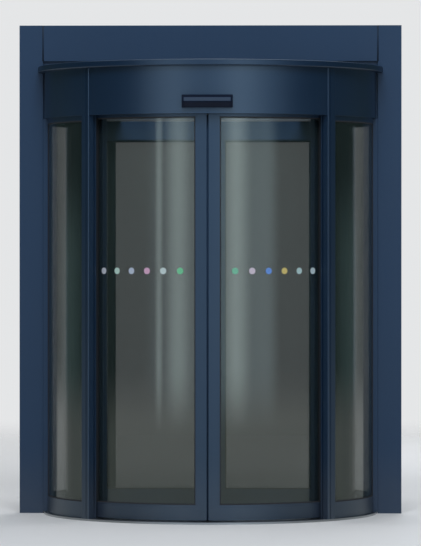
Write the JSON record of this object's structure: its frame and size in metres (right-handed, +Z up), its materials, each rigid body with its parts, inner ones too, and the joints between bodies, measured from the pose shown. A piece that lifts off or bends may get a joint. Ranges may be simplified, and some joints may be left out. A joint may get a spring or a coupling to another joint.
{
  "type": "revolving door",
  "caption": "Curved-glass revolving door in a dark portal, with a crossed rotor, a tall canopy and curved leaves that slide shut across the front.",
  "frame": {"origin": "on the floor under the drum's axis, centre of the footprint", "axes": "+Z up, the front looks along -Y, +X to the right seen from the front"},
  "size_m": [2.345, 2.132, 2.995],
  "materials": {
    "dark_coat": "satin powder coat, dark blue-grey",
    "ceiling_coat": "satin powder coat, light grey",
    "clear_glass": "clear safety glass with a faint cool tint",
    "mat": "ribbed entrance matting",
    "brush": "dense black brush pile",
    "gasket": "black rubber",
    "sensor_plastic": "black moulded housing with a dark window",
    "steel": "brushed stainless steel",
    "canopy_metal": "mill-finish sheet"
  },
  "bodies": {
    "drum": {"canopy_beams": "canopy_metal", "ceiling": "ceiling_coat", "cornice": "dark_coat", "drive_unit": "canopy_metal", "entrance_mat": "mat", "fascia_back": "dark_coat", "fascia_front": "dark_coat", "fascia_left": "dark_coat", "fascia_right": "dark_coat", "floor_bearing": "steel", "floor_pan": "steel", "inner_wall_frame_left": "dark_coat", "inner_wall_frame_right": "dark_coat", "inner_wall_glass_left": "clear_glass", "inner_wall_glass_right": "clear_glass", "leaf_track": "steel", "motion_sensors": "sensor_plastic", "portal_columns": "dark_coat", "portal_head": "dark_coat", "portal_jamb_left": "dark_coat", "portal_jamb_right": "dark_coat", "post_back_left": "dark_coat", "post_back_right": "dark_coat", "post_front_left": "dark_coat", "post_front_right": "dark_coat", "roof_cover": "canopy_metal", "side_glass_left": "clear_glass", "side_glass_right": "clear_glass", "side_rails_left": "dark_coat", "side_rails_right": "dark_coat"},
    "rotor": {"rotor_shaft": "dark_coat", "wing_brushes": "brush", "wing_frame_1": "dark_coat", "wing_frame_2": "dark_coat", "wing_frame_3": "dark_coat", "wing_frame_4": "dark_coat", "wing_glass": "clear_glass"},
    "leaf_left": {"leaf_carriages_left": "steel", "leaf_frame_left": "dark_coat", "leaf_gasket_left": "gasket", "leaf_glass_left": "clear_glass"},
    "leaf_right": {"leaf_carriages_right": "steel", "leaf_frame_right": "dark_coat", "leaf_gasket_right": "gasket", "leaf_glass_right": "clear_glass"}
  },
  "joints": [
    {"name": "rotor_turn", "type": "hinge", "parent": "drum", "child": "rotor", "pos_m": [0, 0, 0], "axis": [0, 0, 1], "continuous": true},
    {"name": "leaf_right_slide", "type": "hinge", "parent": "drum", "child": "leaf_right", "pos_m": [0, 0, 0], "axis": [0, 0, 1], "range_deg": [0, 44]},
    {"name": "leaf_left_slide", "type": "hinge", "parent": "drum", "child": "leaf_left", "pos_m": [0, 0, 0], "axis": [0, 0, -1], "range_deg": [0, 44]}
  ],
  "couplings": [
    {"joint": "leaf_left_slide", "follows": "leaf_right_slide", "ratio": 1}
  ]
}
